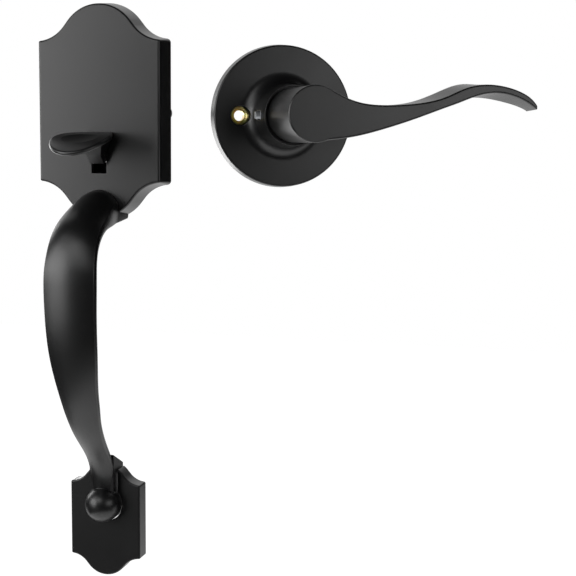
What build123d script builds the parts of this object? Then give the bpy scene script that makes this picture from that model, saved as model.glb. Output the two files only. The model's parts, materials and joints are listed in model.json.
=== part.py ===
from build123d import *
from math import atan2, cos, degrees, hypot, radians, sin, sqrt
import os

# An entry door handleset in matt black: the outside half, with its thumb piece and pull grip, and the
# inside half, a lever on a round rose. Millimetres. The origin is on the latch axis, on the face that
# the outside half is screwed to: X runs to the right, Y runs into the door, Z runs up.

# Clearances
running_gap = 0.05
side_gap = 0.3
slide_gap = 0.2
slip_gap = 0.1

# How far joined pieces run into each other, and how far a cut runs past its sheet
weld = 0.01
root_sink = 0.5
cut_reach = 5.0

# Halvings of a search along a line
halvings = 40

# Door and latch
bolt_spread = 41.3
spindle_diameter = 7.8
spindle_flat = 0.4
spindle_reach = 31.0

# Outside escutcheon
plate_half_width = 30.7
plate_shoulder = 33.1
plate_crown_radius = 20.0
plate_throat_radius = 18.0
plate_slope = 51.5
plate_flank = 3.5
plate_corner_round = 0.8
plate_depth = 11.8
plate_draft = 6.3
plate_wall = 2.5
plate_edge_round = 1.1
boss_diameter = 6.0
boss_side_inset = 8.2
boss_top_inset = 9.1
boss_bottom_inset = 11.1

# Thumb slot and pivot
slot_half_width = 3.8
slot_top = -10.5
slot_bottom = -29.1
pivot_y = -5.5
pivot_z = -19.0
pivot_diameter = 3.0
lug_thickness = 3.3
lug_half_height = 4.0

# Thumb piece
pad_half_width = 14.1
pad_half_length = 15.2
pad_centre_y = -32.2
pad_neck_half_width = 7.5
pad_neck_y = -12.8
pad_thickness = 2.6
pad_rim_round = 1.1
pad_dish_depth = 0.9
pad_dish_radius = 42.0
pad_dish_y = -33.5
# Top line of the thumb pad and outline of its web in the side view, as y and z
pad_line = [(-10.8, -9.6), (-20, -9.9), (-30, -11.3), (-38, -13.9), (-46, -18), (-51, -20.9)]
web_line = [(-12.2, -11), (-22.5, -12.5), (-20.5, -17), (-18, -20.5), (-14.2, -24.6), (-5.5, -21.6),
            (-5.5, -17), (-9, -13)]
# Half outline of the web in the front view, as x and z
web_taper = [(6.8, -8), (6.8, -12), (3.4, -21), (3.4, -30)]
web_half_width = 3.4
barrel_radius = 3.2
tail_half_width = 2.5
tail_step = 0.6
tail_root_rise = 2.2
tail_root_drop = 3.0
tail_shoulder_y = -1.0
tail_shoulder_rise = 1.2
tail_neck_rise = 1.15
tail_belly_y = 2.0
slot_clearance = 1.2
tail_arm = 16.0
tail_rest_angle = -10.0
tail_nose_radius = 1.6
tail_window_gap = 3.0
tail_window_height = 10.0

# Chassis of the outside half
chassis_thickness = 2.0
ear_half_width = 6.6
ear_bottom = -48.0
ear_overlap = 3.0
post_diameter = 8.0
post_spigot_diameter = 6.0
post_bore = 4.2
post_length = 22.0
post_chamfer = 0.6
tab_half_width = 4.0
tab_depth = 6.5
tab_thickness = 1.8
chassis_tab_z = 23.0
chassis_screw_diameter = 2.5
chassis_screw_head = 5.4
chassis_screw_length = 7.0
grip_screw_diameter = 5.0
grip_screw_lift = 0.5
grip_screw_head = 9.0
grip_screw_length = 11.0
# Cross recess of the screws, as parts of the head's diameter and depth
recess_arm = 0.27
recess_width = 0.12
recess_depth = 0.8

# Lift slide
slide_half_width = 12.0
slide_thickness = 1.8
slide_top = 12.6
thumb_travel = 20.0
rivet_diameter = 3.0
rivet_head_diameter = 4.8
rivet_head_thickness = 1.0
rivet_head_round = 0.4
rivet_across = 9.2
rivet_top = 9.4
rivet_bottom = -9.4
lip_half_width = 7.0
lip_depth = 11.5
tail_notch_depth = 5.0
tail_notch_gap = 1.1
tail_notch_rise = 0.8

# Hub of the outside half
hub_flange_diameter = 20.0
hub_flange_thickness = 2.2
hub_journal_diameter = 11.2
hub_groove_diameter = 9.4
hub_pin_diameter = 3.0
hub_pin_radius = 7.8
pin_gap = 0.08
clip_diameter = 15.0
clip_thickness = 1.0
clip_opening = 0.7
hub_collar = 1.2
hub_flange_gap = 0.4
spindle_chamfer = 0.5
spring_wire = 0.6
spring_radius = 2.2
spring_turns = 6

# Grip: matched points of its front line and its back line in the side view, as y and z, with the
# half width there, from the root at the door to the neck above the ball
grip_front = [(0, -37.2), (-12, -37.2), (-22, -40.3), (-31.5, -45.6), (-39.5, -51.2), (-44.6, -57.6),
              (-47.5, -65), (-49.2, -74), (-49.4, -85), (-48.8, -97), (-47.1, -110), (-43.7, -124.3),
              (-38.7, -138), (-33.4, -148.6), (-27.3, -157.2), (-21.2, -164), (-16, -171),
              (-13.5, -178.5), (-12.9, -186)]
grip_back = [(0, -51.2), (-12, -52.6), (-21.5, -53.8), (-28.3, -55), (-33.4, -57.8), (-37, -62.3),
             (-39, -67.6), (-40.2, -74.8), (-40.4, -85), (-39.9, -96.3), (-38.3, -108.5), (-35.1, -121.6),
             (-30.5, -134.7), (-26.6, -144.1), (-21.2, -152.4), (-15.6, -159.4), (-10, -167.6),
             (-7, -177), (-6.4, -186)]
grip_half_width = [9.6, 9.6, 10.6, 11.2, 11.4, 11.6, 11.9, 12.3, 12.3, 12.0, 11.5, 10.1, 8.6, 7.4, 6.4, 5.7,
                   5.6, 5.5, 5.4]
grip_front_crown = [7, 7, 5, 4.1, 3.7, 3.2, 2.6, 2.3, 2.2, 2.1, 2.1, 2, 2, 1.9, 1.9, 1.8, 1.8, 1.8, 1.8]
grip_back_crown = [0.1, 0.1, 0.1, 0.3, 0.8, 1.8, 2.8, 3.1, 3.2, 3.2, 3.2, 3, 2.8, 2.5, 2.3, 2, 1.8, 1.8, 1.8]
grip_side_bulge = 0.5
grip_edge_round = 0.6
root_recess_half_width = 7.0
heel_half_width = 6.3
heel_top = -165.5
heel_bottom = -172.0
heel_y = -12.0

# Lower escutcheon and the grip's foot
ball_z = -191.0
foot_z = ball_z - 8.65
foot_half_width = 18.2
foot_shoulder = 18.6
foot_crown_radius = 11.7
foot_throat_radius = 10.5
foot_slope = 50.0
foot_flank = 2.05
foot_depth = 8.1
foot_wall = 2.0
foot_edge_round = 0.7
ball_diameter = 17.6
ball_y = -10.5
foot_bolt_bore = 5.0
foot_bolt_depth = 12.0

# Inside half: where it stands and how far it is turned
inside_place = (83.05, 10.05, -1.6)
inside_turn = 29.2

# Rose
rose_radius = 33.35
rose_draft = 0.55
rose_rim_depth = 6.4
rose_edge_round = 0.8
rose_wall = 1.8
cove_foot_radius = 20.9
cove_radius = 6.2
cove_sweep = 86.0
rose_face_rise = 0.3
hub_ring_radius = 13.7
hub_hole_radius = 13.15
hub_depth = 27.0
screw_hole_radius = 4.6
notch_y = -17.5
notch_length = 6.0
notch_height = 4.2

# Inside mechanism
bush_radius = 4.45
bush_bore = 4.9
bush_front = -5.2
bush_round = 0.5
bush_lip = 0.9
bush_cone_depth = 1.2
tube_radius = 8.0
tube_bore = 6.4
tube_front = -36.0
tube_web = 6.0
tube_flange_radius = 10.5
tube_flange_thickness = 1.2
cover_radius = 14.2
cover_depth = 6.6
cover_wall = 1.0
cover_round = 1.5
torsion_wire = 1.3
torsion_radius = 11.2
torsion_turns = 2
torsion_pitch = 1.7
ring_radius = 11.2
ring_thickness = 1.2
neck_bush_length = 3.6
neck_bush_recess = 1.5
catch_radius = 1.5
catch_head_radius = 2.4
catch_head_thickness = 1.0
catch_engagement = 1.6
catch_round = 0.4
catch_y = -18.5
catch_spring_radius = 1.7
catch_spring_wire = 0.5
catch_spring_turns = 7

# Lever
neck_radius = 12.2
face_y = -64.8
head_depth = 11.5
head_edge_round = 0.45
# Lever outline seen from the room, as x and z, from the head to the tip: the front face's top and
# bottom edges, and the same edges at the back of the strap
lever_front_top = [(0, 12.1), (10, 8.6), (18, 5.4), (28, 4.1), (42, 4.7), (56, 7.1), (68, 11.9),
                   (76, 13.9), (84, 13.3), (92, 11.9), (97, 9.8), (100, 7.8), (102.6, 4.8)]
lever_front_bottom = [(0, -12.1), (10, -10.5), (18, -9.3), (28, -6.8), (42, -2.5), (56, 2.4), (68, 6.8),
                      (76, 9.6), (84, 10.1), (92, 8.7), (97, 6.6), (100, 4.9), (102.6, 3.2)]
lever_back_top = [(0, 12.1), (10, 8.6), (18, 5.6), (28, 4.4), (42, 5.2), (56, 9.7), (68, 14.1),
                  (76, 14), (84, 12.2), (92, 9.6), (97, 7.6), (100, 5.9), (102.6, 3.8)]
lever_back_bottom = [(0, -12.1), (10, -10.5), (18, -9.3), (28, -6.7), (42, -2), (56, 3.9),
                     (68, 7.6), (76, 8.2), (84, 7.6), (92, 6), (97, 4.8), (100, 3.8), (102.6, 2.6)]
lever_stations = [1, 9, 17, 27, 38, 49, 60, 70, 80, 90, 97, 101, 102.4]
lever_tip = 102.4
lever_tip_return = 3.0
lever_edge_round = 0.8


def at_depth(y):
    """Plane that faces out of the door at one depth, with X across and Z up."""
    return Plane.XZ.offset(-y)


def slab(sketch, near, far):
    """Prism of a front-view sketch between two depths."""
    return extrude(at_depth(far) * sketch, far - near)


def rod(radius, near, far, x=0, z=0):
    """Round bar along the door's thickness."""
    return slab(Pos(x, z) * Circle(radius), near, far)


def cross_rod(radius, y, z, half_length):
    """Round bar from left to right."""
    return extrude(Plane.YZ.offset(-half_length) * Pos(y, z) * Circle(radius), 2 * half_length)


def side_slab(points, half_width):
    """Prism of a side-view outline, even about the middle."""
    outline = make_face(Polyline(*points, close=True))
    return extrude(Plane.YZ.offset(-half_width) * outline, 2 * half_width)


def block(x0, x1, y0, y1, z0, z1):
    """Box between two corners."""
    centre = Pos((x0 + x1) / 2, (y0 + y1) / 2, (z0 + z1) / 2)
    return centre * Box(x1 - x0, y1 - y0, z1 - z0)


def height_at(outline, x):
    """Second coordinate of a line at one value of its first."""
    low = 0.0
    high = 1.0
    rising = (outline @ 1).X > (outline @ 0).X
    for _ in range(halvings):
        middle = (low + high) / 2
        if ((outline @ middle).X < x) == rising:
            low = middle
        else:
            high = middle
    return (outline @ low).Y


def ogee(half_width, shoulder, crown_radius, throat_radius, slope, flank, corner_round):
    """Outline of an ogee escutcheon: crown, straight flank and throat, alike at top and bottom."""
    across = cos(radians(slope))
    down = sin(radians(slope))
    throat_x = (crown_radius + throat_radius) * down + flank * across
    throat_rise = (crown_radius + throat_radius) * across - flank * down
    crown_z = shoulder + sqrt(throat_radius**2 - (half_width - throat_x) ** 2) - throat_rise
    crown_end = (crown_radius * down, crown_z + crown_radius * across)
    flank_end = (crown_end[0] + flank * across, crown_end[1] - flank * down)
    corner = (half_width, shoulder)
    with BuildSketch() as face:
        with BuildLine():
            TangentArc((0, crown_z + crown_radius), crown_end, tangent=(1, 0))
            Line(crown_end, flank_end)
            TangentArc(flank_end, corner, tangent=(across, -down))
            Line(corner, (half_width, 0))
            mirror(about=Plane.YZ)
            mirror(about=Plane.XZ)
        make_face()
        corners = face.vertices().filter_by(lambda v: abs(abs(v.X) - half_width) < weld and abs(v.Y) > weld)
        fillet(corners, corner_round)
    return face.sketch


def plate_outline():
    """Front outline of the outside escutcheon."""
    return ogee(plate_half_width, plate_shoulder, plate_crown_radius, plate_throat_radius,
                plate_slope, plate_flank, plate_corner_round)


def flared(sketch, front, back):
    """Prism that widens from the front towards the door by the casting's draft."""
    return extrude(at_depth(front) * sketch, -(back - front), taper=-plate_draft)


def draft_at(y):
    """How far the drafted side has moved out at one depth."""
    return (plate_depth + y) * sin(radians(plate_draft)) / cos(radians(plate_draft))


def root_arch(clearance):
    """Front view of the grip's root, a round arch with a flat foot."""
    top = grip_front[0][1] + clearance
    foot = grip_back[0][1]
    half_width = grip_half_width[1] + grip_side_bulge + clearance
    spring_z = top - half_width
    arch = Pos(0, spring_z) * Circle(half_width)
    legs = Pos(0, (spring_z + foot - 2) / 2) * Rectangle(2 * half_width, spring_z - foot + 2)
    return arch + legs


def outside_plate():
    """Cast escutcheon: drafted shell with a rounded front edge, slot, lugs and screw bosses."""
    body = flared(plate_outline(), -plate_depth, 0)
    front_face = body.faces().sort_by(Axis.Y)[0]
    body = fillet(front_face.edges(), plate_edge_round)
    inner_y = -plate_depth + plate_wall
    inside = offset(plate_outline(), draft_at(inner_y) - plate_wall, kind=Kind.INTERSECTION)
    body -= flared(inside, inner_y, weld)
    for x, z in screw_places():
        body += rod(boss_diameter / 2, inner_y - root_sink, -chassis_thickness, x, z)
        body -= rod(chassis_screw_diameter / 2, inner_y, 0, x, z)
    lug_inner = slot_half_width + slip_gap
    for side in (-1, 1):
        near = side * lug_inner
        far = side * (lug_inner + lug_thickness)
        body += block(min(near, far), max(near, far), inner_y - root_sink, -chassis_thickness - side_gap,
                      pivot_z - lug_half_height, pivot_z + lug_half_height)
    body -= cross_rod(pivot_diameter / 2, pivot_y, pivot_z, lug_inner + lug_thickness)
    slot_height = slot_top - slot_bottom
    slot = Pos(0, (slot_top + slot_bottom) / 2) * Rectangle(2 * slot_half_width, slot_height)
    body -= slab(slot, -plate_depth - cut_reach, inner_y + weld)
    body -= slab(root_arch(slip_gap), -plate_depth - cut_reach, cut_reach)
    return body


def thumb_pin():
    """Pivot pin, pressed in both lugs."""
    return cross_rod(pivot_diameter / 2, pivot_y, pivot_z, slot_half_width + slip_gap + lug_thickness)


def chassis_outline():
    """Outline of the steel plate that closes the escutcheon from behind."""
    inset = draft_at(-chassis_thickness) - plate_wall - side_gap
    return offset(plate_outline(), inset, kind=Kind.INTERSECTION)


def screw_places():
    """Places of the four screws that hold the chassis in the escutcheon."""
    across = plate_half_width - boss_side_inset
    heights = (plate_shoulder - boss_top_inset, boss_bottom_inset - plate_shoulder)
    return [(x, z) for x in (-across, across) for z in heights]


def rivet_places():
    """Places of the four rivets that guide the lift slide."""
    return [(x, z) for x in (-rivet_across, rivet_across) for z in (rivet_top, rivet_bottom)]


def chassis_plate():
    """Stamped plate with the hub's bearing, the tail's window, the grip's ear and the spring tab."""
    plate = slab(chassis_outline(), -chassis_thickness, 0)
    plate -= slab(root_arch(side_gap), -cut_reach, cut_reach)
    ear_top = grip_front[0][1] + ear_overlap
    plate += block(-ear_half_width, ear_half_width, -chassis_thickness, 0, ear_bottom, ear_top)
    plate += block(-tab_half_width, tab_half_width, -chassis_thickness, tab_depth,
                   chassis_tab_z, chassis_tab_z + chassis_thickness)
    plate -= rod(hub_journal_diameter / 2 + running_gap, -cut_reach, cut_reach)
    window = Pos(0, pivot_z) * Rectangle(2 * tail_half_width + tail_window_gap, tail_window_height)
    plate -= slab(window, -cut_reach, cut_reach)
    for x, z in rivet_places():
        plate -= rod(rivet_diameter / 2, -cut_reach, cut_reach, x, z)
    for x in (-bolt_spread / 2, bolt_spread / 2):
        plate -= rod(post_spigot_diameter / 2, -cut_reach, cut_reach, x)
    for x, z in screw_places():
        plate -= countersunk_hole(chassis_screw_diameter, chassis_screw_head, 0, x, z)
    plate -= countersunk_hole(grip_screw_diameter, grip_screw_head, 0, 0, grip_screw_z())
    return plate


def grip_screw_z():
    """Height of the screw through the chassis ear into the grip's root."""
    return (grip_front[0][1] + grip_back[0][1]) / 2 + grip_screw_lift


def cone_depth(diameter, head):
    """Depth of a ninety degree countersink."""
    return (head - diameter) / 2


def countersunk_hole(diameter, head, back, x, z):
    """Hole and countersink, open towards the door."""
    depth = cone_depth(diameter, head)
    cone = loft([at_depth(back) * Pos(x, z) * Circle(head / 2),
                 at_depth(back - depth) * Pos(x, z) * Circle(diameter / 2)])
    return cone + rod(diameter / 2, back - cut_reach, back - depth + weld, x, z)


def countersunk_screw(diameter, head, length, back, x, z):
    """Screw driven from the door's side, flush with the plate, with a cross recess."""
    depth = cone_depth(diameter, head)
    cone = loft([at_depth(back) * Pos(x, z) * Circle(head / 2),
                 at_depth(back - depth) * Pos(x, z) * Circle(diameter / 2)])
    screw = cone + rod(diameter / 2, back - length, back - depth + weld, x, z)
    arm = head * recess_arm
    width = head * recess_width
    recess = Rectangle(2 * arm, width) + Rectangle(width, 2 * arm)
    return screw - slab(Pos(x, z) * recess, back - depth * recess_depth, back + cut_reach)


def chassis_screws():
    """Four small screws from the back of the chassis into the escutcheon's bosses."""
    return Compound(children=[
        countersunk_screw(chassis_screw_diameter, chassis_screw_head, chassis_screw_length, 0, x, z)
        for x, z in screw_places()])


def grip_screw():
    """Screw that holds the grip's root to the chassis ear."""
    return countersunk_screw(grip_screw_diameter, grip_screw_head, grip_screw_length, 0, 0,
                             grip_screw_z())


def mounting_posts():
    """Two tapped posts, riveted in the chassis, that the through bolts reach."""
    posts = []
    for x in (-bolt_spread / 2, bolt_spread / 2):
        post = rod(post_diameter / 2, 0, post_length, x)
        post = chamfer(post.edges().group_by(Axis.Y)[-1], post_chamfer)
        post += rod(post_spigot_diameter / 2, -chassis_thickness, weld, x)
        posts.append(post - rod(post_bore / 2, -cut_reach, post_length + cut_reach, x))
    return Compound(children=posts)


def slide_rise():
    """Travel of the lift slide: the rise of the tail's nose over the thumb's travel."""
    lower = radians(tail_rest_angle)
    upper = radians(tail_rest_angle + thumb_travel)
    return tail_arm * (sin(upper) - sin(lower))


def crank_angle():
    """Angle of the crank pin below the level at rest, half the hub's turn."""
    return degrees(atan2(slide_rise() / 2, sqrt(hub_pin_radius**2 - (slide_rise() / 2) ** 2)))


def nose_place():
    """Centre of the tail's nose at rest."""
    angle = radians(tail_rest_angle)
    return (pivot_y + tail_arm * cos(angle), pivot_z + tail_arm * sin(angle))


def lip_bottom():
    """Underside of the slide's lip, just above the tail's nose."""
    return nose_place()[1] + tail_nose_radius + slip_gap


def lift_slide():
    """Bent steel slide: window round the journal, crank slot, rivet slots, tail lip and spring tab."""
    near = slide_gap
    far = slide_gap + slide_thickness
    bottom = lip_bottom()
    plate = block(-slide_half_width, slide_half_width, near, far, bottom + slide_thickness, slide_top)
    plate += block(-lip_half_width, lip_half_width, near, lip_depth, bottom, bottom + slide_thickness)
    plate += block(-tab_half_width, tab_half_width, near, tab_depth, slide_top - tab_thickness, slide_top)
    rise = slide_rise()
    journal = hub_journal_diameter / 2 + side_gap
    window = Pos(0, -rise) * Circle(journal) + Circle(journal)
    window += Pos(0, -rise / 2) * Rectangle(2 * journal, rise)
    plate -= slab(window, near - cut_reach, far + weld)
    pin_reach = hub_pin_radius + hub_pin_diameter / 2 + slip_gap
    crank_slot = Rectangle(pin_reach, hub_pin_diameter + 2 * pin_gap, align=(Align.MIN, Align.CENTER))
    plate -= slab(Pos(0, -rise / 2) * crank_slot, near - cut_reach, far + cut_reach)
    for x, z in rivet_places():
        guide = SlotCenterToCenter(rise, rivet_diameter + 2 * running_gap, rotation=90)
        plate -= slab(Pos(x, z - rise / 2) * guide, near - cut_reach, far + cut_reach)
    notch_half = tail_half_width + tail_notch_gap
    plate -= block(-notch_half, notch_half, -cut_reach, tail_notch_depth, bottom - cut_reach,
                   bottom + slide_thickness + tail_notch_rise)
    return plate


def slide_rivets():
    """Four shouldered rivets in the chassis."""
    rivets = []
    for x, z in rivet_places():
        head_y = slide_gap + slide_thickness + slip_gap
        rivet = rod(rivet_diameter / 2, -chassis_thickness, head_y + weld, x, z)
        head = rod(rivet_head_diameter / 2, head_y, head_y + rivet_head_thickness, x, z)
        rivets.append(rivet + fillet(head.edges().group_by(Axis.Y)[-1], rivet_head_round))
    return Compound(children=rivets)


def coil(radius, wire, length, turns):
    """Compression spring along Z from the origin, with its wire inside the length."""
    path = Helix(pitch=(length - wire) / turns, height=length - wire, radius=radius)
    path = Pos(0, 0, wire / 2) * path
    profile = Plane(origin=path @ 0, z_dir=path % 0) * Circle(wire / 2)
    return sweep(profile, path=path)


def lift_spring():
    """Spring between the slide's tab and the chassis tab."""
    length = chassis_tab_z - slide_top
    axis_y = (slide_gap + tab_depth) / 2
    return Pos(0, axis_y, slide_top) * coil(spring_radius, spring_wire, length, spring_turns)


def half_round():
    """Section of the spindle, a round bar with one flat side."""
    radius = spindle_diameter / 2
    flat = Pos(0, -spindle_flat - radius) * Rectangle(4 * radius, 2 * radius)
    return Circle(radius) - flat


def clip_front():
    """Front of the clip in the hub's groove."""
    return -chassis_thickness - side_gap - clip_thickness


def journal_front():
    """Front end of the hub's journal, with a collar in front of the clip."""
    return clip_front() - hub_collar


def outside_hub():
    """Crank hub: flange behind the slide, journal through it, crank pin and the spindle's hole."""
    near = slide_gap + slide_thickness + hub_flange_gap
    hub = rod(hub_flange_diameter / 2, near, near + hub_flange_thickness)
    hub += rod(hub_journal_diameter / 2, journal_front(), near + weld)
    angle = radians(-crank_angle())
    hub += rod(hub_pin_diameter / 2, side_gap, near + weld, hub_pin_radius * cos(angle),
               hub_pin_radius * sin(angle))
    groove = Circle(hub_journal_diameter) - Circle(hub_groove_diameter / 2)
    hub -= slab(groove, clip_front(), clip_front() + clip_thickness)
    return hub - slab(half_round(), journal_front() - cut_reach, near + hub_flange_thickness + cut_reach)


def hub_clip():
    """Open ring in the hub's groove, in front of the chassis."""
    ring = Circle(clip_diameter / 2) - Circle(hub_groove_diameter / 2)
    ring -= Pos(0, -clip_diameter / 2) * Rectangle(hub_groove_diameter * clip_opening, clip_diameter)
    return slab(ring, clip_front(), clip_front() + clip_thickness)


def outside_spindle():
    """Half-round bar, staked in the hub, that works the latch."""
    bar = slab(half_round(), journal_front(), spindle_reach)
    return chamfer(bar.edges().group_by(Axis.Y)[-1], spindle_chamfer)


def pad_outline():
    """Plan of the thumb pad: an ellipse whose sides run straight in to the neck."""
    reach = pad_neck_y - pad_centre_y
    side = pad_neck_half_width / pad_half_width
    ahead = reach / pad_half_length
    size = hypot(side, ahead)
    angle = atan2(ahead, side) - atan2(sqrt(size**2 - 1), 1)
    touch = (pad_half_width * cos(angle), pad_centre_y + pad_half_length * sin(angle))
    neck = make_face(Polyline((-touch[0], touch[1]), (-pad_neck_half_width, pad_neck_y),
                              (pad_neck_half_width, pad_neck_y), touch, close=True))
    return Pos(0, pad_centre_y) * Ellipse(pad_half_width, pad_half_length) + neck


def thumb_pad():
    """Dished pad with a rounded rim, cut from a band that follows the top line."""
    with BuildSketch() as side:
        with BuildLine():
            upper = Spline(*pad_line)
            lower = Spline(*[(y, z - pad_thickness) for y, z in pad_line])
            Line(upper @ 0, lower @ 0)
            Line(upper @ 1, lower @ 1)
        make_face()
    reach = 4 * pad_half_width
    band = extrude(Plane.YZ.offset(-reach / 2) * side.sketch, reach)
    pad = band & extrude(Pos(0, 0, -reach) * pad_outline(), 2 * reach)
    rim = pad.edges().filter_by(lambda e: (e @ 0.5).Y < pad_neck_y - pad_thickness / 4)
    pad = fillet(rim, pad_rim_round)
    middle = Vector(0, pad_dish_y, height_at(upper, pad_dish_y))
    ahead = Vector(0, pad_dish_y - 1, height_at(upper, pad_dish_y - 1))
    normal = (ahead - middle).cross(Vector(1, 0, 0)).normalized()
    centre = middle + normal * (pad_dish_radius - pad_dish_depth)
    return pad - Pos(*centre) * Sphere(pad_dish_radius)


def thumb_web():
    """Tapered web under the pad, narrow where it goes through the slot."""
    stem = side_slab(web_line, 2 * web_half_width)
    left = [(-x, z) for x, z in web_taper]
    taper = make_face(Polyline(*left, *reversed(web_taper), close=True))
    stem &= slab(taper, -8 * cut_reach, cut_reach)
    slot_front = -plate_depth - slot_clearance
    for side in (-1, 1):
        inner = side * web_half_width
        outer = side * 2 * pad_half_width
        stem -= block(min(inner, outer), max(inner, outer), slot_front, cut_reach, 2 * slot_bottom, 0)
    return stem


def thumb_tail():
    """Arm behind the pivot with the rounded nose that lifts the slide."""
    nose_y, nose_z = nose_place()
    drop = tail_nose_radius + slip_gap
    step_y = tail_notch_depth - tail_step
    line = [(pivot_y, pivot_z + tail_root_rise), (tail_shoulder_y, pivot_z + tail_shoulder_rise),
            (step_y, nose_z + tail_neck_rise), (nose_y, nose_z + tail_nose_radius - running_gap),
            (nose_y, nose_z - tail_nose_radius), (tail_belly_y, nose_z - drop),
            (pivot_y, pivot_z - tail_root_drop)]
    return side_slab(line, tail_half_width) + cross_rod(tail_nose_radius, nose_y, nose_z, tail_half_width)


def thumb_piece():
    """Cast thumb pad on a tapered web, with the barrel on the pin and the tail that lifts the slide."""
    barrel = cross_rod(barrel_radius, pivot_y, pivot_z, slot_half_width - slide_gap)
    body = thumb_pad() + thumb_web() + barrel + thumb_tail()
    return body - cross_rod(pivot_diameter / 2 + running_gap, pivot_y, pivot_z, 2 * slot_half_width)


def grip_section(front, back, half_width, front_crown, back_crown):
    """Lens section of the grip: two crowned faces joined by narrow, slightly bulged sides."""
    depth = Vector(0, front[0] - back[0], front[1] - back[1])
    half_depth = depth.length / 2
    middle = Vector(0, (front[0] + back[0]) / 2, (front[1] + back[1]) / 2)
    plane = Plane(origin=middle, x_dir=(1, 0, 0), z_dir=Vector(1, 0, 0).cross(depth))
    front_edge = half_depth - front_crown
    back_edge = -half_depth + back_crown
    side_x = half_width + grip_side_bulge
    side_y = (front_edge + back_edge) / 2
    with BuildSketch() as face:
        with BuildLine():
            ThreePointArc((-half_width, front_edge), (0, half_depth), (half_width, front_edge))
            ThreePointArc((half_width, front_edge), (side_x, side_y), (half_width, back_edge))
            ThreePointArc((half_width, back_edge), (0, -half_depth), (-half_width, back_edge))
            ThreePointArc((-half_width, back_edge), (-side_x, side_y), (-half_width, front_edge))
        make_face()
        fillet(face.vertices(), grip_edge_round)
    return plane * face.sketch


def grip():
    """Cast pull grip: root, strap, neck, heel against the door and ball foot."""
    sections = [grip_section(*station) for station in
                zip(grip_front, grip_back, grip_half_width, grip_front_crown, grip_back_crown)]
    body = loft(sections[:2]) + loft(sections[1:])
    heel = [(0, heel_bottom), (heel_y, heel_top), (grip_front[-1][0] + 2 * root_sink, ball_z), (0, ball_z)]
    body += side_slab(heel, heel_half_width)
    body += Pos(0, ball_y, ball_z) * Sphere(ball_diameter / 2)
    body += rod(ball_diameter / 2, ball_y, 0, 0, ball_z)
    body -= block(-root_recess_half_width, root_recess_half_width, -chassis_thickness, cut_reach,
                  ear_bottom - side_gap, 0)
    body -= rod(grip_screw_diameter / 2, -grip_screw_length, 0, 0, grip_screw_z())
    body -= rod(foot_bolt_bore / 2, -foot_bolt_depth, cut_reach, 0, ball_z)
    return body


def lower_plate():
    """Small escutcheon under the grip's foot, open at the top for the neck."""
    outline = ogee(foot_half_width, foot_shoulder, foot_crown_radius, foot_throat_radius,
                   foot_slope, foot_flank, plate_corner_round)
    body = slab(Pos(0, foot_z) * outline, -foot_depth, 0)
    front_face = body.faces().sort_by(Axis.Y)[0]
    body = fillet(front_face.edges(), foot_edge_round)
    inner = Pos(0, foot_z) * offset(outline, -foot_wall, kind=Kind.INTERSECTION)
    body -= slab(inner, -foot_depth + foot_wall, cut_reach)
    body -= rod(ball_diameter / 2 + side_gap, -foot_depth - cut_reach, cut_reach, 0, ball_z)
    notch_top = foot_z + foot_shoulder + foot_crown_radius + foot_throat_radius
    notch_width = 2 * (heel_half_width + grip_side_bulge)
    notch = Pos(0, (ball_z + notch_top) / 2) * Rectangle(notch_width, notch_top - ball_z)
    return body - slab(notch, -foot_depth - cut_reach, cut_reach)


def rose():
    """Spun rose: drafted rim, flat face, cove up to the hub, screw holes and the release notch."""
    rim = -rose_rim_depth
    front_radius = rose_radius - rose_draft
    cove_y = rim - rose_face_rise - cove_radius
    with BuildSketch() as skin:
        with BuildLine():
            Polyline((rose_radius, 0), (front_radius, rim), (cove_foot_radius, rim - rose_face_rise))
            cove = CenterArc((cove_foot_radius, cove_y), cove_radius, 90, cove_sweep)
            Line(cove @ 1, (hub_ring_radius, -hub_depth))
            Line((hub_ring_radius, -hub_depth), (hub_hole_radius, -hub_depth))
            inner = Line((hub_hole_radius, -hub_depth), (hub_hole_radius, rim - cove_radius))
            hollow = CenterArc((cove_foot_radius, cove_y), cove_foot_radius - hub_hole_radius,
                               90 + cove_sweep, -cove_sweep)
            Line(inner @ 1, hollow @ 0)
            Polyline(hollow @ 1, (front_radius - rose_wall, rim + rose_wall),
                     (rose_radius - rose_wall, 0), (rose_radius, 0))
        make_face()
    body = revolve(skin.sketch, axis=Axis.Y)
    rim_edge = body.edges().filter_by(GeomType.CIRCLE).filter_by(
        lambda e: abs(e.radius - front_radius) < weld)
    body = fillet(rim_edge, rose_edge_round)
    for x in (-bolt_spread / 2, bolt_spread / 2):
        body -= rod(screw_hole_radius, -hub_depth, cut_reach, x)
    return body - block(-cove_foot_radius, -neck_radius + root_sink, notch_y - notch_length / 2,
                        notch_y + notch_length / 2, -notch_height / 2, notch_height / 2)


def inside_chassis():
    """Steel disc in the back of the rose, with the drive tube's bearing and the bush seats."""
    disc = rod(rose_radius - rose_draft - rose_wall - slip_gap, -chassis_thickness, 0)
    disc -= rod(tube_radius + running_gap, -cut_reach, cut_reach)
    for x in (-bolt_spread / 2, bolt_spread / 2):
        disc -= rod(bush_radius, -cut_reach, cut_reach, x)
    return disc


def screw_bushes():
    """Two yellow zinc-plated bushes, countersunk in front for the through bolts."""
    bushes = []
    for x in (-bolt_spread / 2, bolt_spread / 2):
        bush = rod(bush_radius, bush_front, 0, x)
        bush = fillet(bush.edges().group_by(Axis.Y)[0], bush_round)
        bush -= rod(bush_bore / 2, bush_front - cut_reach, cut_reach, x)
        cone = loft([at_depth(bush_front) * Pos(x, 0) * Circle(bush_radius - bush_lip),
                     at_depth(bush_front + bush_cone_depth) * Pos(x, 0) * Circle(bush_bore / 2)])
        bushes.append(bush - cone)
    return Compound(children=bushes)


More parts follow.
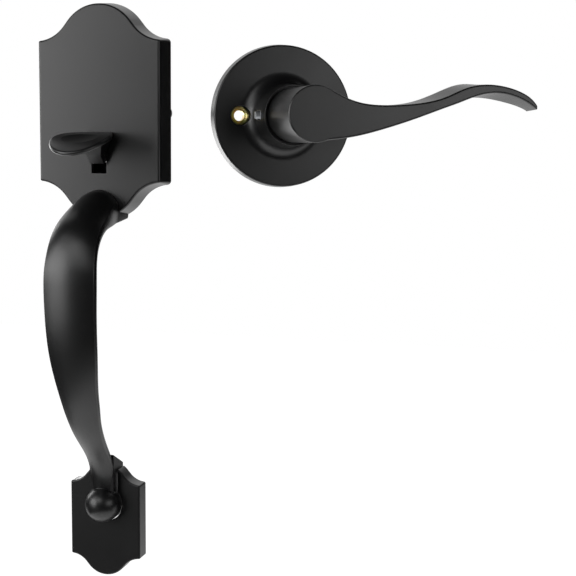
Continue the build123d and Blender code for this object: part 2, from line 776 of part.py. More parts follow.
def drive_tube():
    """Tube that turns in the chassis: back flange, spindle web and the catch's window."""
    tube = rod(tube_radius, tube_front, side_gap + tube_flange_thickness)
    tube += rod(tube_flange_radius, side_gap, side_gap + tube_flange_thickness)
    tube -= rod(tube_bore, tube_front - cut_reach, -tube_web)
    tube -= slab(half_round(), -tube_web - cut_reach, cut_reach)
    return tube - catch_hole(catch_radius + running_gap, -tube_radius - cut_reach, 0)


def catch_hole(radius, x_from, x_to):
    """Round hole along X at the catch's depth."""
    return extrude(Plane.YZ.offset(x_from) * Pos(catch_y, 0) * Circle(radius), x_to - x_from)


def inside_spindle():
    """Half-round bar held in the drive tube's web."""
    bar = slab(half_round(), -tube_web, spindle_reach)
    return chamfer(bar.edges().group_by(Axis.Y)[-1], spindle_chamfer)


def spring_cover():
    """Stamped cup that houses the return spring on the chassis."""
    back = -chassis_thickness
    cup = rod(cover_radius, back - cover_depth, back)
    cup = fillet(cup.edges().group_by(Axis.Y)[0], cover_round)
    cup -= rod(cover_radius - cover_wall, back - cover_depth + cover_wall, back + cut_reach)
    return cup - rod(tube_radius + side_gap, back - cover_depth - cut_reach, back)


def return_spring():
    """Torsion spring about the drive tube, between the chassis and the cover."""
    length = torsion_turns * torsion_pitch
    path = Helix(pitch=length / torsion_turns, height=length, radius=torsion_radius)
    profile = Plane(origin=path @ 0, z_dir=path % 0) * Circle(torsion_wire / 2)
    spring = sweep(profile, path=path)
    back = -chassis_thickness - torsion_wire / 2 - slip_gap
    return Location((0, back, 0), (90, 0, 0)) * spring


def ring_front():
    """Front of the retaining ring, just clear of the spring cover."""
    return -chassis_thickness - cover_depth - slide_gap - ring_thickness


def neck_back():
    """Back end of the lever's neck, just clear of the retaining ring."""
    return ring_front() - side_gap


def retaining_ring():
    """Ring on the drive tube, in front of the spring cover."""
    front = ring_front()
    return slab(Circle(ring_radius) - Circle(tube_radius), front, front + ring_thickness)


def neck_bush():
    """Black nylon ring in the mouth of the rose's hub, round the lever's neck."""
    front = -hub_depth + neck_bush_recess
    ring = Circle(hub_hole_radius) - Circle(neck_radius + running_gap)
    return slab(ring, front, front + neck_bush_length)


def lever_section(x, outlines, front_y, back_y):
    """Four-sided section of the strap with rounded edges, across the lever at one place."""
    front_top, front_bottom, back_top, back_bottom = [height_at(line, x) for line in outlines]
    corners = [(front_y, front_top), (front_y, front_bottom), (back_y, back_bottom), (back_y, back_top)]
    edge_round = min(lever_edge_round, 0.4 * (front_top - front_bottom), 0.4 * (back_top - back_bottom))
    with BuildSketch() as face:
        with BuildLine():
            Polyline(*corners, close=True)
        make_face()
        fillet(face.vertices(), edge_round)
    return Plane.YZ.offset(x) * face.sketch


def lever():
    """Cast wave lever: neck, round head and a strap that twists on its way to the tip."""
    outlines = [Spline(*line) for line in
                (lever_front_top, lever_front_bottom, lever_back_top, lever_back_bottom)]
    sections = []
    for x in lever_stations:
        bend = lever_tip_return * (x / lever_tip) ** 4
        sections.append(lever_section(x, outlines, face_y + bend, face_y + head_depth + bend))
    strap = loft(sections)
    neck = rod(neck_radius, face_y, neck_back())
    neck = chamfer(neck.edges().group_by(Axis.Y)[0], head_edge_round)
    body = neck + strap
    body -= rod(tube_radius + running_gap, tube_front - side_gap, 0)
    return body - catch_hole(catch_radius + running_gap, -neck_radius - cut_reach, 0)


def catch_head_back():
    """Side of the catch's head that rests in the drive tube's bore."""
    return -sqrt(tube_bore**2 - catch_head_radius**2) + slip_gap


def lever_catch():
    """Plunger whose end stands in the neck's wall and keeps the lever on the tube."""
    head = catch_head_back()
    pin = catch_hole(catch_radius, -tube_radius - catch_engagement, head + weld)
    pin = fillet(pin.edges().group_by(Axis.X)[0], catch_round)
    return pin + catch_hole(catch_head_radius, head, head + catch_head_thickness)


def catch_spring():
    """Spring behind the catch, across the drive tube."""
    start = catch_head_back() + catch_head_thickness
    length = sqrt(tube_bore**2 - (catch_spring_radius + catch_spring_wire) ** 2) - start
    spring = coil(catch_spring_radius, catch_spring_wire, length, catch_spring_turns)
    return Location((start, catch_y, 0), (0, 90, 0)) * spring


inside = Location(inside_place, (0, 0, inside_turn))

outside_nodes = [outside_plate, chassis_plate, chassis_screws, mounting_posts, thumb_piece, thumb_pin,
                 lift_slide, slide_rivets, lift_spring, outside_hub, hub_clip, outside_spindle,
                 grip, grip_screw, lower_plate]
inside_nodes = [rose, inside_chassis, screw_bushes, drive_tube, inside_spindle, spring_cover,
                return_spring, retaining_ring, neck_bush, lever, lever_catch, catch_spring]

os.makedirs("parts", exist_ok=True)
for make in outside_nodes:
    export_step(make(), f"parts/{make.__name__}.step")
for make in inside_nodes:
    export_step(inside * make(), f"parts/{make.__name__}.step")
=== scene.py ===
import json
import math

import bpy
from bpy.props import FloatProperty, FloatVectorProperty, PointerProperty
from mathutils import Matrix, Vector


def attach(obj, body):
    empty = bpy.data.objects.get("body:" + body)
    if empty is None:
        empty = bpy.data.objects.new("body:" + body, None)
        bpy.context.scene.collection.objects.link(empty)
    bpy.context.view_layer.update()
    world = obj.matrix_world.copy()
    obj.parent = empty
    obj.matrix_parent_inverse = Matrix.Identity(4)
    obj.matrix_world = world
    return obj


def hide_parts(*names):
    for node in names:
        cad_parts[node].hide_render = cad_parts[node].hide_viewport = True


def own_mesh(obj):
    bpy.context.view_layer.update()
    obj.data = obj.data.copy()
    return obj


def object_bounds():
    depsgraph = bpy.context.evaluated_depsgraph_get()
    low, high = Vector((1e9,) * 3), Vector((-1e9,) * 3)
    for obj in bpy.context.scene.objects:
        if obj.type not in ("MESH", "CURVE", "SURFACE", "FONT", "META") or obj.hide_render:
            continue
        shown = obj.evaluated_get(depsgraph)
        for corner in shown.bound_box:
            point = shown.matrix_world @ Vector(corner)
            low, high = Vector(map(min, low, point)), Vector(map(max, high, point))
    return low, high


bl_info = {
    "name": "Entry handleset",
    "version": (1, 0, 0),
    "blender": (4, 5, 0),
    "location": "3D View > Sidebar > Handleset",
    "description": "Finishes, release pin, springs and studio for an entry door handleset",
    "category": "Object",
}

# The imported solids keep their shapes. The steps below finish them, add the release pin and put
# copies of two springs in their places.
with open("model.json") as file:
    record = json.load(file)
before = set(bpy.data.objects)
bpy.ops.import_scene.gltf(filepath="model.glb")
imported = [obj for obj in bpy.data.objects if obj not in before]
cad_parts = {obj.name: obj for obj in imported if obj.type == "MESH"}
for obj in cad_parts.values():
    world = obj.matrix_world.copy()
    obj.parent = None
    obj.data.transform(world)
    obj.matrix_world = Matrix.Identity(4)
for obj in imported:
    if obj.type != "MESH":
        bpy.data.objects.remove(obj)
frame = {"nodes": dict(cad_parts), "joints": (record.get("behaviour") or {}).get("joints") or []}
cad_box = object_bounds()

MM = 0.001
HAIR = 0.001 * MM  # points closer together than this count as one


class FinishSettings(bpy.types.PropertyGroup):
    """Colours and grain of the set's finishes."""

    coat_colour: FloatVectorProperty(
        name="Coat colour", description="Black of the powder coat", subtype="COLOR",
        default=(0.0035, 0.0035, 0.0037))
    coat_roughness: FloatProperty(
        name="Coat roughness", description="How far the black coat scatters a lamp's reflection",
        default=0.35, min=0.0, max=1.0, subtype="FACTOR")
    edge_roughness: FloatProperty(
        name="Edge roughness",
        description="Roughness of the coat where handling has smoothed an edge",
        default=0.27, min=0.0, max=1.0, subtype="FACTOR")
    peel_size: FloatProperty(
        name="Grain size", description="Width of one grain in the black coat", default=0.7 * MM,
        min=0.05 * MM, unit="LENGTH")
    peel_height: FloatProperty(
        name="Grain height", description="Height of the grain in the black coat",
        default=0.004 * MM, min=0.0, unit="LENGTH")
    edge_softness: FloatProperty(
        name="Edge softness", description="How far the coat rounds over a sharp casting edge",
        default=0.4 * MM, min=0.0, unit="LENGTH")
    zinc_colour: FloatVectorProperty(
        name="Zinc plating", description="Colour of the plated steel", subtype="COLOR",
        default=(0.44, 0.455, 0.47))
    cast_colour: FloatVectorProperty(
        name="Bare casting", description="Colour of the bare die-cast zinc", subtype="COLOR",
        default=(0.33, 0.34, 0.35))
    spring_colour: FloatVectorProperty(
        name="Spring steel", description="Colour of the oiled springs and clips", subtype="COLOR",
        default=(0.20, 0.19, 0.18))
    bush_colour: FloatVectorProperty(
        name="Yellow plating", description="Colour of the screw bushes' yellow passivate",
        subtype="COLOR", default=(0.82, 0.70, 0.30))
    nylon_colour: FloatVectorProperty(
        name="Nylon", description="Colour of the neck's bush", subtype="COLOR",
        default=(0.010, 0.010, 0.011))


class StudioSettings(bpy.types.PropertyGroup):
    """Where the camera, the lamps and the cloths stand, and how bright the lamps are."""

    camera_place: FloatVectorProperty(
        name="Camera", description="Where the camera stands", subtype="TRANSLATION", unit="LENGTH",
        default=(242.21 * MM, -563.99 * MM, -13.29 * MM))
    camera_yaw: FloatProperty(
        name="Camera turn", description="How far the camera looks to the left of straight on",
        default=math.radians(15.076), subtype="ANGLE")
    camera_pitch: FloatProperty(
        name="Camera tilt", description="How far the camera looks down",
        default=math.radians(6.69), subtype="ANGLE")
    camera_roll: FloatProperty(
        name="Camera roll", description="How far the camera leans to the left",
        default=math.radians(0.499), subtype="ANGLE")
    camera_lens: FloatProperty(
        name="Lens", description="Focal length in millimetres on a 36 mm sensor",
        default=78.125, min=1.0)
    left_level: FloatProperty(
        name="Left softboxes", description="Level of the brightest softbox on the left",
        default=5.7, min=0.0)
    right_level: FloatProperty(
        name="Right softbox", description="Level of the softbox on the right", default=2.4,
        min=0.0)
    rim_level: FloatProperty(
        name="Rim softboxes", description="Level of the softboxes behind the object on the left",
        default=4.2, min=0.0)
    stand_distance: FloatProperty(
        name="Lamp distance", description="How far the softboxes stand from the object",
        default=750 * MM, min=0.1, unit="LENGTH")
    cloth_distance: FloatProperty(
        name="Cloth distance", description="How far the black curtain hangs from the object",
        default=1300 * MM, min=0.2, unit="LENGTH")
    floor_height: FloatProperty(
        name="Floor height", description="Height of the studio floor", default=-600 * MM,
        unit="LENGTH")
    room_level: FloatProperty(
        name="Room level", description="Brightness of the room where it lights matt faces",
        default=0.2, min=0.0)


class PinSettings(bpy.types.PropertyGroup):
    """Sizes of the release pin in the rose's window."""

    collar_radius: FloatProperty(
        name="Collar radius", description="Radius of the collar that fills the window",
        default=2.05 * MM, min=0.5 * MM, unit="LENGTH")
    collar_depth: FloatProperty(
        name="Collar depth", description="Depth of the collar", default=1.4 * MM, min=0.1 * MM,
        unit="LENGTH")
    pin_inset: FloatProperty(
        name="Pin inset", description="How far the pin stands in from its collar",
        default=0.38 * MM, min=0.0, unit="LENGTH")
    pin_length: FloatProperty(
        name="Pin length", description="Length of the pin above its collar", default=2.3 * MM,
        min=0.1 * MM, unit="LENGTH")
    dome: FloatProperty(
        name="Dome", description="Size of the pin's rounded end", default=0.55 * MM, min=0.0,
        unit="LENGTH")
    seat: FloatVectorProperty(
        name="Seat", subtype="TRANSLATION", unit="LENGTH",
        description="Middle of the collar's foot, measured from the middle of the rose",
        default=(-12.6 * MM, -18.45 * MM, 0.0))
    rose_middle: FloatVectorProperty(
        name="Rose", description="Middle of the rose on the latch axis", subtype="TRANSLATION",
        unit="LENGTH", default=(83.05 * MM, 10.05 * MM, -1.6 * MM))
    rose_turn: FloatProperty(
        name="Rose turn", description="How far the inside half is turned", subtype="ANGLE",
        default=math.radians(29.2))


class Wire:
    """An output socket. A sum written on wires adds the Math nodes that work it out."""

    def __init__(self, paint, socket):
        self.paint = paint
        self.socket = socket

    def maths(self, operation, first, second):
        return self.paint.add("ShaderNodeMath", {"operation": operation}, {0: first, 1: second})

    def __add__(self, other):
        return self.maths("ADD", self, other)

    def __radd__(self, other):
        return self.maths("ADD", other, self)

    def __sub__(self, other):
        return self.maths("SUBTRACT", self, other)

    def __rsub__(self, other):
        return self.maths("SUBTRACT", other, self)

    def __mul__(self, other):
        return self.maths("MULTIPLY", self, other)

    def __rmul__(self, other):
        return self.maths("MULTIPLY", other, self)


class Paint:
    """A node tree that is being filled."""

    def __init__(self, tree):
        self.tree = tree
        self.tree.nodes.clear()

    def add(self, kind, settings=None, inputs=None, output=0):
        """Add a node, set it up, feed its sockets and give one of its outputs."""
        node = self.tree.nodes.new(kind)
        for name, value in (settings or {}).items():
            if name == "stops":
                self.set_stops(node.color_ramp, value)
            else:
                setattr(node, name, value)
        for name, value in (inputs or {}).items():
            if isinstance(value, Wire):
                self.tree.links.new(value.socket, node.inputs[name])
            else:
                node.inputs[name].default_value = value
        return Wire(self, node.outputs[output]) if len(node.outputs) else None

    @staticmethod
    def set_stops(ramp, stops):
        while len(ramp.elements) < len(stops):
            ramp.elements.new(0.5)
        for element, (place, colour) in zip(ramp.elements, stops):
            element.position = place
            element.color = (*colour, 1.0)

    def place(self):
        """Place on the object, in metres."""
        return self.add("ShaderNodeTexCoord", output="Object")

    def noise(self, size, detail=2.0):
        """Cloudy pattern from 0 to 1, with its features about one size across."""
        return self.add("ShaderNodeTexNoise", {"noise_dimensions": "3D"}, {
            "Vector": self.place(), "Scale": 1.0 / size, "Detail": detail}, "Fac")

    def blend(self, share, first, second):
        """Colour between two colours."""
        return self.add("ShaderNodeMix", {"data_type": "RGBA"}, {
            "Factor": share, 6: colour_of(first), 7: colour_of(second)}, 2)

    def ramp(self, value, stops):
        """Colour read along stops of place and colour."""
        return self.add("ShaderNodeValToRGB", {"stops": stops}, {"Fac": value}, "Color")

    def between(self, value, low, high):
        """0 below low, 1 above high, with a soft step between."""
        return self.add("ShaderNodeMapRange", {"interpolation_type": "SMOOTHSTEP"}, {
            "Value": value, "From Min": low, "From Max": high}, "Result")

    def bump(self, grain, height, under=None):
        """Normal of a face whose grain stands this high on the normal under it."""
        inputs = {"Height": grain * height, "Distance": 1.0, "Strength": 1.0}
        if under:
            inputs["Normal"] = under
        return self.add("ShaderNodeBump", None, inputs)


def colour_of(value):
    """A colour with its alpha, or a wire as it is."""
    return value if isinstance(value, Wire) else (*value, 1.0)


def tint(colour, shares):
    """A colour with each of its channels scaled by its own share."""
    return tuple(channel * share for channel, share in zip(colour, shares))


def shade(colour, share):
    """A colour made darker or lighter."""
    return tint(colour, (share, share, share))


def new_paint(name):
    """An empty node material."""
    material = bpy.data.materials.new(name)
    material.use_nodes = True
    return material, Paint(material.node_tree)


def close_paint(paint, shader):
    """Send a shader to the material's output."""
    paint.add("ShaderNodeOutputMaterial", None, {"Surface": shader})


# For each finish: the size of its clouds or grain, how high the grain stands, and by how much
# grain and clouds change the roughness.
COAT_CLOUD = 18 * MM
COAT_GRAIN_SHEEN = 0.06
COAT_CLOUD_SHEEN = 0.05
# Where the coat turns this far over an edge it gets smoother and lighter; the lighter colour is
# partly wear and partly a painted highlight along the edges.
WEAR_AND_HIGHLIGHT_FROM, WEAR_AND_HIGHLIGHT_TO = 0.01, 0.16  # 1 less the cosine of the coat's turn over an edge


def satin_black(finish):
    """Black powder coat on cast zinc: fine grain, faint clouds in its sheen, and smooth edges that
    are lighter, partly by wear and partly by a painted highlight.
    """
    material, paint = new_paint("satin_black_coat")
    grain = paint.noise(finish.peel_size, detail=3.0)
    clouds = paint.noise(COAT_CLOUD)
    soft = paint.add("ShaderNodeBevel", {"samples": 6}, {"Radius": finish.edge_softness})
    flat = paint.add("ShaderNodeNewGeometry", output="Normal")
    turn = paint.add("ShaderNodeVectorMath", {"operation": "DOT_PRODUCT"},
                     {0: soft, 1: flat}, "Value")
    # Edge mask: it lowers the roughness and lightens the colour along edges, partly as wear and
    # partly as a painted highlight.
    edge = paint.between(1.0 - turn, WEAR_AND_HIGHLIGHT_FROM, WEAR_AND_HIGHLIGHT_TO)
    dark = shade(finish.coat_colour, 0.85)
    light = shade(finish.coat_colour, 1.2)
    # Lighter coat for the edges: partly wear, partly a painted highlight.
    worn_and_highlit = shade(finish.coat_colour, 2.5)
    bump = paint.bump(grain, finish.peel_height, under=soft)
    scatter = (finish.coat_roughness + (grain - 0.5) * COAT_GRAIN_SHEEN
               + (clouds - 0.5) * COAT_CLOUD_SHEEN)
    shader = paint.add("ShaderNodeBsdfPrincipled", None, {
        "Base Color": paint.blend(edge, paint.blend(clouds, dark, light), worn_and_highlit),
        "Roughness": scatter - edge * (finish.coat_roughness - finish.edge_roughness),
        "Normal": bump})
    close_paint(paint, shader)
    return material


METAL_CLOUD = 6 * MM
METAL_GRAIN_HEIGHT = 0.004 * MM
METAL_CLOUD_SHEEN = 0.14
METAL_GRAIN_SHEEN = 0.08


def plated_metal(name, colour, roughness, grain_size, cloud_shade):
    """Metal with a fine satin grain and faint clouds in its plating."""
    material, paint = new_paint(name)
    grain = paint.noise(grain_size, detail=4.0)
    clouds = paint.noise(METAL_CLOUD, detail=3.0)
    bump = paint.bump(grain, METAL_GRAIN_HEIGHT)
    shader = paint.add("ShaderNodeBsdfPrincipled", None, {
        "Base Color": paint.blend(clouds, shade(colour, cloud_shade), colour),
        "Metallic": 1.0,
        "Roughness": (roughness + (clouds - 0.5) * METAL_CLOUD_SHEEN
                      + (grain - 0.5) * METAL_GRAIN_SHEEN),
        "Normal": bump})
    close_paint(paint, shader)
    return material


def spring_steel(name, finish):
    """Oiled steel of the springs and clips."""
    return plated_metal(name, finish.spring_colour, roughness=0.36, grain_size=0.3 * MM,
                        cloud_shade=0.7)


YELLOW_CLOUD = 2.2 * MM
YELLOW_ROUGHNESS = 0.24
YELLOW_CLOUD_SHEEN = 0.12
ROSY_TINT = (1.0, 0.72, 0.75)
GREEN_TINT = (0.82, 1.05, 0.9)


def yellow_plating(finish):
    """Yellow passivate on the screw bushes, with rosy and greenish clouds."""
    material, paint = new_paint("yellow_passivate")
    clouds = paint.noise(YELLOW_CLOUD)
    gold = tuple(finish.bush_colour)
    colour = paint.ramp(clouds, [
        (0.30, tint(gold, ROSY_TINT)), (0.48, gold), (0.72, tint(gold, GREEN_TINT))])
    shader = paint.add("ShaderNodeBsdfPrincipled", None, {
        "Base Color": colour, "Metallic": 1.0,
        "Roughness": YELLOW_ROUGHNESS + clouds * YELLOW_CLOUD_SHEEN})
    close_paint(paint, shader)
    return material


NYLON_GRAIN = 0.4 * MM
NYLON_GRAIN_HEIGHT = 0.01 * MM
NYLON_ROUGHNESS = 0.55
NYLON_GRAIN_SHEEN = 0.2


def moulded_nylon(finish):
    """Black nylon with a dull moulded face."""
    material, paint = new_paint("moulded_nylon")
    grain = paint.noise(NYLON_GRAIN, detail=3.0)
    bump = paint.bump(grain, NYLON_GRAIN_HEIGHT)
    shader = paint.add("ShaderNodeBsdfPrincipled", None, {
        "Base Color": paint.blend(grain, shade(finish.nylon_colour, 0.8), finish.nylon_colour),
        "Roughness": NYLON_ROUGHNESS + (grain - 0.5) * NYLON_GRAIN_SHEEN, "Normal": bump})
    close_paint(paint, shader)
    return material


def dress(slot, material):
    """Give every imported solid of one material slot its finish."""
    for node in frame["nodes"].values():
        for place in node.material_slots:
            if place.material and place.material.name.split(".")[0] == slot:
                place.material = material


class HANDLESET_OT_black_castings(bpy.types.Operator):
    """Coat the plates, the thumb piece, the grip, the rose and the lever in satin black"""

    bl_idname = "handleset.black_castings"
    bl_label = "Coat the black castings"

    def execute(self, context):
        dress("black_finish", satin_black(context.scene.handleset_finish))
        return {"FINISHED"}


class HANDLESET_OT_plated_parts(bpy.types.Operator):
    """Plate the steel parts, leave the hub a bare casting and oil the springs and clips"""

    bl_idname = "handleset.plated_parts"
    bl_label = "Finish the bare metal parts"

    def execute(self, context):
        finish = context.scene.handleset_finish
        dress("zinc_steel", plated_metal(
            "zinc_plating", finish.zinc_colour, roughness=0.34, grain_size=0.5 * MM,
            cloud_shade=0.82))
        dress("zinc_cast", plated_metal(
            "bare_casting", finish.cast_colour, roughness=0.5, grain_size=0.9 * MM,
            cloud_shade=0.75))
        dress("spring_steel", spring_steel("spring_steel", finish))
        return {"FINISHED"}


class HANDLESET_OT_bushes(bpy.types.Operator):
    """Finish the yellow screw bushes and the black neck bush"""

    bl_idname = "handleset.bushes"
    bl_label = "Finish the bushes"

    def execute(self, context):
        finish = context.scene.handleset_finish
        dress("yellow_zinc", yellow_plating(finish))
        dress("black_nylon", moulded_nylon(finish))
        return {"FINISHED"}


def choose_top(piece):
    """In edit mode, select only the faces at the top of a piece."""
    bpy.ops.object.mode_set(mode="OBJECT")
    top = max(face.center.z for face in piece.data.polygons)
    for face in piece.data.polygons:
        face.select = face.center.z > top - HAIR
    bpy.ops.object.mode_set(mode="EDIT")


class HANDLESET_OT_release_pin(bpy.types.Operator):
    """Model the collared pin that shows in the window of the rose's hub"""

    bl_idname = "handleset.release_pin"
    bl_label = "Model the release pin"

    def execute(self, context):
        pin = context.scene.handleset_pin
        bpy.ops.object.select_all(action="DESELECT")
        bpy.ops.mesh.primitive_cylinder_add(
            vertices=48, radius=pin.collar_radius, depth=pin.collar_depth)
        piece = context.object
        piece.name = "release_pin"
        bpy.ops.object.mode_set(mode="EDIT")
        bpy.ops.mesh.select_mode(type="FACE")
        choose_top(piece)
        bpy.ops.mesh.inset(thickness=pin.pin_inset)
        bpy.ops.mesh.extrude_region_move(TRANSFORM_OT_translate={"value": (0, 0, pin.pin_length)})
        bpy.ops.object.mode_set(mode="OBJECT")
        self.round_ends(piece, pin)
        self.stand_in_window(piece, pin)
        piece.data.materials.append(plated_metal(
            "pin_zinc", context.scene.handleset_finish.zinc_colour, roughness=0.62,
            grain_size=0.5 * MM, cloud_shade=0.85))
        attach(piece, "root")
        return {"FINISHED"}

    def round_ends(self, piece, pin):
        soften = piece.modifiers.new("soften", "BEVEL")
        soften.width = pin.dome
        soften.segments = 5
        soften.limit_method = "ANGLE"
        soften.angle_limit = math.radians(40)
        bpy.ops.object.modifier_apply(modifier=soften.name)
        bpy.ops.object.shade_smooth_by_angle(angle=math.radians(35))

    def stand_in_window(self, piece, pin):
        """Lay the pin along the rose's radius, with its collar in the window."""
        lay = Matrix.Rotation(math.radians(-90), 4, "Y")
        turn = Matrix.Rotation(pin.rose_turn, 4, "Z")
        seat = Matrix.Translation(Vector(pin.seat) - Vector((pin.collar_depth / 2, 0, 0)))
        piece.matrix_world = Matrix.Translation(pin.rose_middle) @ turn @ seat @ lay
        bpy.ops.object.transform_apply(location=True, rotation=True, scale=True)


class HANDLESET_OT_coil_springs(bpy.types.Operator):
    """Put steel copies of the lift spring and the catch spring in place of the imported ones, on
    the parts that carry them
    """

    bl_idname = "handleset.coil_springs"
    bl_label = "Free the coil springs"

    def execute(self, context):
        steel = spring_steel("coil_steel", context.scene.handleset_finish)
        for name, body, joint in (("lift_spring", "root", "lift_travel"),
                                  ("catch_spring", "handle", "catch_press")):
            coil = self.copy_of(context, name)
            coil.data.materials.clear()
            coil.data.materials.append(steel)
            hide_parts(name)
            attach(coil, body)
            self.shorten(coil, joint)
        return {"FINISHED"}

    def copy_of(self, context, name):
        """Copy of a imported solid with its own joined-up mesh."""
        coil = bpy.data.objects.new(f"{name}_coil", frame["nodes"][name].data.copy())
        context.collection.objects.link(coil)
        bpy.ops.object.select_all(action="DESELECT")
        coil.select_set(True)
        context.view_layer.objects.active = coil
        bpy.ops.object.mode_set(mode="EDIT")
        bpy.ops.mesh.select_all(action="SELECT")
        bpy.ops.mesh.remove_doubles(threshold=HAIR)
        bpy.ops.object.mode_set(mode="OBJECT")
        return coil

    def shorten(self, coil, joint):
        """Give the coil its own mesh; the share of its length that the joint's travel takes is
        worked out but not used, so the coil does not shorten.
        """
        row = next(each for each in frame["joints"] if each["name"] == joint)
        axis = Vector(row["axis"])
        reach = [vertex.co.dot(axis) for vertex in coil.data.vertices]
        travel = row["range_m"][1]
        1 - travel / (max(reach) - min(reach))
        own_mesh(coil)


def from_target(azimuth, elevation):
    """Direction from the object, with 0 towards the viewer and positive angles to the right."""
    across = math.radians(azimuth)
    up = math.radians(elevation)
    return Vector((math.sin(across) * math.cos(up), -math.cos(across) * math.cos(up),
                   math.sin(up)))


def middle_of_set():
    """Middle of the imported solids."""
    low, high = cad_box
    return (Vector(low) + Vector(high)) / 2


def softbox(studio, name, level, size, azimuth, elevation):
    """Evenly lit rectangle that faces the object, with pi times its level in watts per m2."""
    bpy.ops.object.select_all(action="DESELECT")
    direction = from_target(azimuth, elevation)
    bpy.ops.object.light_add(
        type="AREA", location=middle_of_set() + direction * studio.stand_distance)
    lamp = bpy.context.object
    lamp.name = name
    lamp.rotation_euler = (-direction).to_track_quat("-Z", "Y").to_euler()
    lamp.data.shape = "RECTANGLE"
    lamp.data.size, lamp.data.size_y = size
    lamp.data.energy = level * math.pi * size[0] * size[1]


CLOTH_TOP = 1100 * MM
SKIRT_TOP = -220 * MM
SKIRT_NEARNESS = 0.42  # share of the curtain's distance
LID_SHIFT = 0.65  # share of the curtain's distance by which the lid lies towards the viewer
FELT_CLOUD = 50 * MM
FELT_DARK = (0.003, 0.003, 0.003)
FELT_LIGHT = (0.006, 0.006, 0.006)


def black_cloth(name, distance, low, high, first, last):
    """Curved black cloth round the object between two azimuths; only reflections show it."""
    bpy.ops.object.select_all(action="DESELECT")
    middle = middle_of_set()
    bpy.ops.mesh.primitive_cylinder_add(
        vertices=72, radius=distance, depth=high - low, end_fill_type="NOTHING",
        location=(middle.x, middle.y, (low + high) / 2))
    cloth = bpy.context.object
    cloth.name = name
    bpy.ops.object.mode_set(mode="EDIT")
    bpy.ops.mesh.select_mode(type="FACE")
    bpy.ops.mesh.select_all(action="DESELECT")
    bpy.ops.object.mode_set(mode="OBJECT")
    for face in cloth.data.polygons:
        azimuth = math.degrees(math.atan2(face.center.x, -face.center.y))
        face.select = not first < azimuth < last
    bpy.ops.object.mode_set(mode="EDIT")
    bpy.ops.mesh.delete(type="FACE")
    bpy.ops.object.mode_set(mode="OBJECT")
    bpy.ops.object.transform_apply(location=True, rotation=True, scale=True)
    show_in_reflections(cloth)


def black_lid(reach):
    """Level black cloth over the object and the space in front of it."""
    bpy.ops.object.select_all(action="DESELECT")
    middle = middle_of_set()
    bpy.ops.mesh.primitive_plane_add(
        size=2 * reach, location=(middle.x, middle.y - LID_SHIFT * reach, CLOTH_TOP))
    bpy.ops.object.transform_apply(location=True, rotation=True, scale=True)
    lid = bpy.context.object
    lid.name = "black_lid"
    show_in_reflections(lid)


def show_in_reflections(cloth):
    """Give a cloth its black felt and let nothing but a reflection see it."""
    material, paint = new_paint(cloth.name)
    felt = paint.noise(FELT_CLOUD)
    shader = paint.add("ShaderNodeBsdfDiffuse", None, {
        "Color": paint.blend(felt, FELT_DARK, FELT_LIGHT)})
    close_paint(paint, shader)
    cloth.data.materials.append(material)
    cloth.visible_camera = False
    cloth.visible_diffuse = False
    cloth.visible_shadow = False
    cloth.visible_transmission = False


def background_rays(paint):
    """1 where a ray from the camera, a reflection or clear glass meets the background."""
    camera = paint.add("ShaderNodeLightPath", output="Is Camera Ray")
    glossy = paint.add("ShaderNodeLightPath", output="Is Glossy Ray")
    clear = paint.add("ShaderNodeLightPath", output="Is Transmission Ray")
    either = paint.add("ShaderNodeMath", {"operation": "MAXIMUM"}, {0: glossy, 1: clear})
    return paint.add("ShaderNodeMath", {"operation": "MAXIMUM"}, {0: camera, 1: either})


FLOOR_SIZE = 6000 * MM
FLOOR_CLOUD = 400 * MM
FLOOR_DARK = (0.80, 0.80, 0.80)
FLOOR_LIGHT = (0.84, 0.84, 0.84)
FLOOR_GLOW = (0.9, 0.9, 0.9)
WHITE = (1.0, 1.0, 1.0)
SENSOR_WIDTH = 36.0  # in millimetres, as Blender counts a camera's sensor


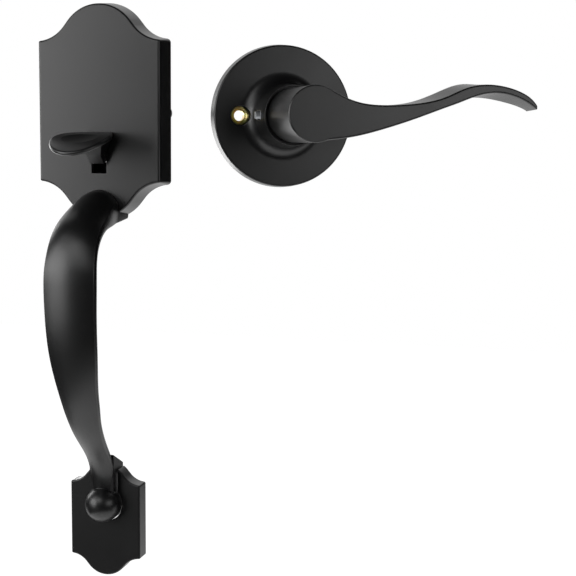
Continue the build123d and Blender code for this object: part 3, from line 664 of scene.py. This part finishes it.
class HANDLESET_OT_studio(bpy.types.Operator):
    """Set up the camera, the lamps, the black cloths, the white room and the floor"""

    bl_idname = "handleset.studio"
    bl_label = "Set up the studio"

    def execute(self, context):
        studio = context.scene.handleset_studio
        self.add_camera(context.scene, studio)
        left, right, rim = studio.left_level, studio.right_level, studio.rim_level
        # Level, width and height in metres, and the azimuth and elevation in degrees.
        softbox(studio, "left_core", left, (0.52, 0.30), -51, 12)
        softbox(studio, "left_top", 0.22 * left, (0.66, 0.30), -40, 33)
        softbox(studio, "left_foot", 0.57 * left, (0.36, 0.27), -45, -9)
        softbox(studio, "middle_top", 0.36 * left, (0.40, 0.30), -12, 30)
        softbox(studio, "right_core", right, (0.52, 0.32), 61, 11)
        softbox(studio, "rim_strip", rim, (0.30, 0.32), -111, 11)
        softbox(studio, "rim_foot", 0.8 * rim, (0.30, 0.30), -135, -8)
        reach, floor = studio.cloth_distance, studio.floor_height
        black_cloth("black_curtain", reach, floor, CLOTH_TOP, -118, 172)
        black_cloth("black_skirt", SKIRT_NEARNESS * reach, floor, SKIRT_TOP, -100, 90)
        black_lid(reach)
        self.add_floor(studio)
        self.light_room(context.scene, studio)
        context.scene.view_settings.view_transform = "Standard"
        return {"FINISHED"}

    def add_camera(self, scene, studio):
        bpy.ops.object.camera_add(location=studio.camera_place)
        camera = bpy.context.object
        camera.name = "camera"
        turn = (Matrix.Rotation(studio.camera_yaw, 4, "Z")
                @ Matrix.Rotation(math.radians(90) - studio.camera_pitch, 4, "X")
                @ Matrix.Rotation(studio.camera_roll, 4, "Z"))
        camera.rotation_euler = turn.to_euler()
        camera.data.sensor_width = SENSOR_WIDTH
        camera.data.lens = studio.camera_lens
        camera.data.clip_start = 10 * MM
        scene.camera = camera

    def add_floor(self, studio):
        """Pale floor that glows for the camera and for reflections, so that it looks white."""
        bpy.ops.object.select_all(action="DESELECT")
        bpy.ops.mesh.primitive_plane_add(size=FLOOR_SIZE, location=(0, 0, studio.floor_height))
        floor = bpy.context.object
        floor.name = "studio_floor"
        material, paint = new_paint("studio_floor")
        clouds = paint.noise(FLOOR_CLOUD, detail=1.0)
        pale = paint.add("ShaderNodeBsdfDiffuse", None, {
            "Color": paint.blend(clouds, FLOOR_DARK, FLOOR_LIGHT)})
        glow = paint.add("ShaderNodeEmission", None, {
            "Color": colour_of(FLOOR_GLOW), "Strength": 1.0})
        white = paint.add("ShaderNodeAddShader", None, {0: pale, 1: glow})
        shader = paint.add("ShaderNodeMixShader", None, {
            "Fac": background_rays(paint), 1: pale, 2: white})
        close_paint(paint, shader)
        floor.data.materials.append(material)

    def light_room(self, scene, studio):
        """White room for the camera and for reflections, and a dim one for matt faces."""
        world = bpy.data.worlds.new("studio_room")
        scene.world = world
        world.use_nodes = True
        paint = Paint(world.node_tree)
        room = paint.add("ShaderNodeBackground", None, {
            "Color": colour_of(shade(WHITE, studio.room_level))})
        white = paint.add("ShaderNodeBackground", None, {"Color": colour_of(WHITE)})
        shader = paint.add("ShaderNodeMixShader", None, {
            "Fac": background_rays(paint), 1: room, 2: white})
        paint.add("ShaderNodeOutputWorld", None, {"Surface": shader})


class HANDLESET_PT_panel(bpy.types.Panel):
    """Sidebar list of the handleset's sizes and steps"""

    bl_idname = "HANDLESET_PT_panel"
    bl_label = "Handleset"
    bl_space_type = "VIEW_3D"
    bl_region_type = "UI"
    bl_category = "Handleset"

    def draw(self, context):
        layout = self.layout
        scene = context.scene
        for group in (scene.handleset_finish, scene.handleset_pin, scene.handleset_studio):
            box = layout.box()
            for name in group.__annotations__:
                box.prop(group, name)
        for step in STEPS:
            layout.operator(step.bl_idname)


STEPS = (HANDLESET_OT_black_castings, HANDLESET_OT_plated_parts, HANDLESET_OT_bushes,
         HANDLESET_OT_release_pin, HANDLESET_OT_coil_springs, HANDLESET_OT_studio)
CLASSES = (FinishSettings, PinSettings, StudioSettings, *STEPS, HANDLESET_PT_panel)


def register():
    for cls in CLASSES:
        bpy.utils.register_class(cls)
    bpy.types.Scene.handleset_finish = PointerProperty(type=FinishSettings)
    bpy.types.Scene.handleset_pin = PointerProperty(type=PinSettings)
    bpy.types.Scene.handleset_studio = PointerProperty(type=StudioSettings)


def unregister():
    del bpy.types.Scene.handleset_studio
    del bpy.types.Scene.handleset_pin
    del bpy.types.Scene.handleset_finish
    for cls in reversed(CLASSES):
        bpy.utils.unregister_class(cls)


def main():
    register()
    bpy.ops.handleset.black_castings()
    bpy.ops.handleset.plated_parts()
    bpy.ops.handleset.bushes()
    bpy.ops.handleset.release_pin()
    bpy.ops.handleset.coil_springs()
    bpy.ops.handleset.studio()


if __name__ == "__main__":
    main()
